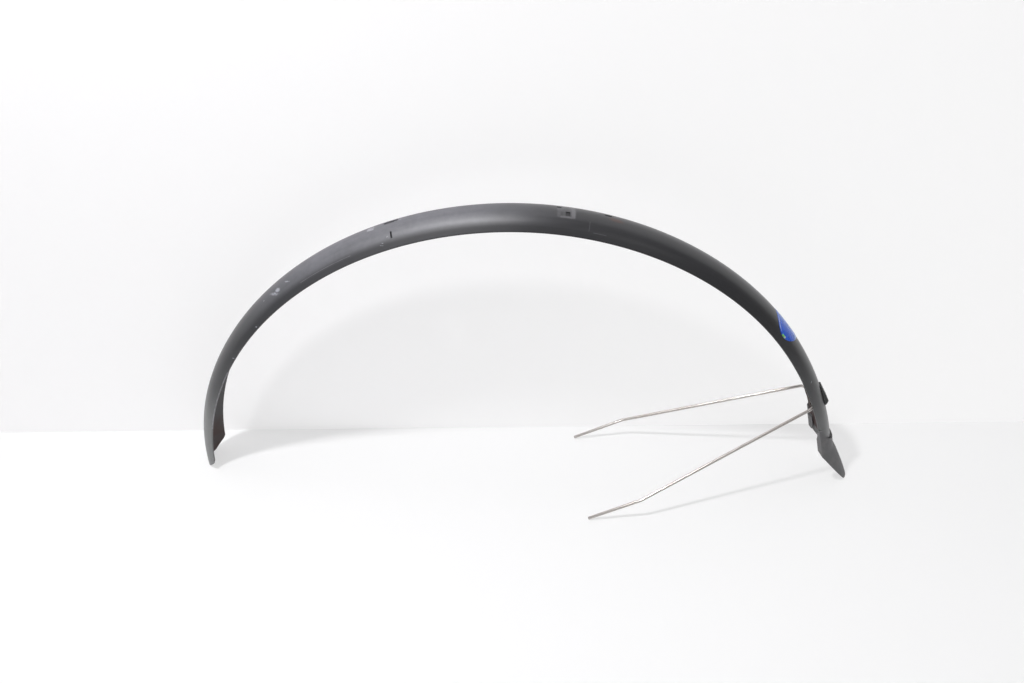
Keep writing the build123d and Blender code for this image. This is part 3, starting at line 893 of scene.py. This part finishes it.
def backdrop(name, corners, white, left_share, right_share):
    """A flat sheet: diffuse for the light, and for the views a share of its own even white, which may
    change from left to right and fades with the distance from the part as the light on a table does.
    Its back lets the view through."""
    mesh = bpy.data.meshes.new(name)
    mesh.from_pydata(corners, [], [(0, 1, 2, 3)])
    sheet = bpy.data.objects.new(name, mesh)
    bpy.context.scene.collection.objects.link(sheet)
    sheet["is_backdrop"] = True
    pale = Finish(name)
    path = pale.tree.nodes.new("ShaderNodeLightPath")
    direct = pale.math("MAXIMUM", path.outputs["Is Camera Ray"], path.outputs["Is Glossy Ray"])
    direct = pale.math("MAXIMUM", direct, path.outputs["Is Transmission Ray"])
    away = pale.add("VectorMath", {0: pale.place()}, out="Value", operation="LENGTH")
    diffuse = pale.add("BsdfDiffuse", {"Color": seen(*white)})
    even = pale.add("Emission", {"Strength": pale.ramp(away, 0.8, 1.7, 1.0, 0.3)})
    share = pale.ramp(pale.split(pale.place())[0], -0.4, 0.5, left_share, right_share)
    lit = pale.add("MixShader", {0: pale.math("MULTIPLY", direct, share), 1: diffuse, 2: even})
    back = pale.add("NewGeometry", {}, out="Backfacing")
    clear = pale.add("BsdfTransparent", {})
    shown = pale.add("MixShader", {0: back, 1: lit, 2: clear})
    dress(sheet, pale.close(shown))


floor_level = float(cad_low[2])
floor_reach = 4
floor_corners = [(-1, -1), (1, -1), (1, 1), (-1, 1)]
backdrop(
    "floor",
    [(x * floor_reach, y * floor_reach, floor_level) for x, y in floor_corners],
    white=(236, 236, 237),
    left_share=0.6,
    right_share=0.66,
)
backdrop(
    "wall",
    [
        (*wall_ends[0], floor_level),
        (*wall_ends[1], floor_level),
        (*wall_ends[1], floor_level + wall_reach),
        (*wall_ends[0], floor_level + wall_reach),
    ],
    white=(254, 252, 255),
    left_share=0.64,
    right_share=0.8,
)


# Light: a small soft lamp high at the front left, which throws the shadow on the wall, with two weak
# panels at the sides and the even light of the room.
def softbox(name, place, target, size, power):
    """A square soft light at a place, turned to a target."""
    light = bpy.data.lights.new(name, "AREA")
    light.shape = "SQUARE"
    light.size = size
    light.energy = power
    lamp = bpy.data.objects.new(name, light)
    bpy.context.scene.collection.objects.link(lamp)
    way = np.subtract(target, place)
    across = np.cross(way, (0, 1, 0.01))
    back = -way / np.linalg.norm(way)
    right = across / np.linalg.norm(across)
    turned = Matrix(np.stack([right, np.cross(back, right), back], -1).tolist()).to_4x4()
    turned.translation = place
    lamp.matrix_world = turned


softbox("key_light", (-0.45, -0.33, 1.4), (0, 0, 0.2), 0.08, 15.5)
softbox("left_light", (-1.9, -0.1, 0.45), (-0.3, 0, 0.2), 0.8, 2)
softbox("right_light", (0.9, -0.9, 1.35), (0.2, 0, 0.3), 0.5, 0.5)

world = bpy.data.worlds.new("studio")
bpy.context.scene.world = world
world.use_nodes = True
room = world.node_tree.nodes["Background"]
room.inputs["Color"].default_value = (1, 1, 1, 1)
room.inputs["Strength"].default_value = 0.27

# Camera: the lens, place and direction that the photograph's perspective of the part gives, at the
# photograph's own framing.
camera = bpy.data.objects.new("camera", bpy.data.cameras.new("camera"))
bpy.context.scene.collection.objects.link(camera)
camera.data.lens = 31.64
camera.data.sensor_width = 36.0
view_right = np.array([0.99979, 0.01552, 0.0135])
view_ahead = np.array([-0.00389, 0.78707, -0.61685])
view_ahead = view_ahead / np.linalg.norm(view_ahead)
view_right = view_right - view_ahead * (view_right @ view_ahead)
view_right = view_right / np.linalg.norm(view_right)
view_up = np.cross(view_right, view_ahead)
stand = Matrix(np.stack([view_right, view_up, -view_ahead], -1).tolist()).to_4x4()
stand.translation = (-0.00044, -0.76284, 0.80226)
camera.matrix_world = stand
camera.data.clip_start = 0.01
camera.data.clip_end = 50
bpy.context.scene.camera = camera
bpy.context.scene.view_settings.view_transform = "Standard"

low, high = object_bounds()
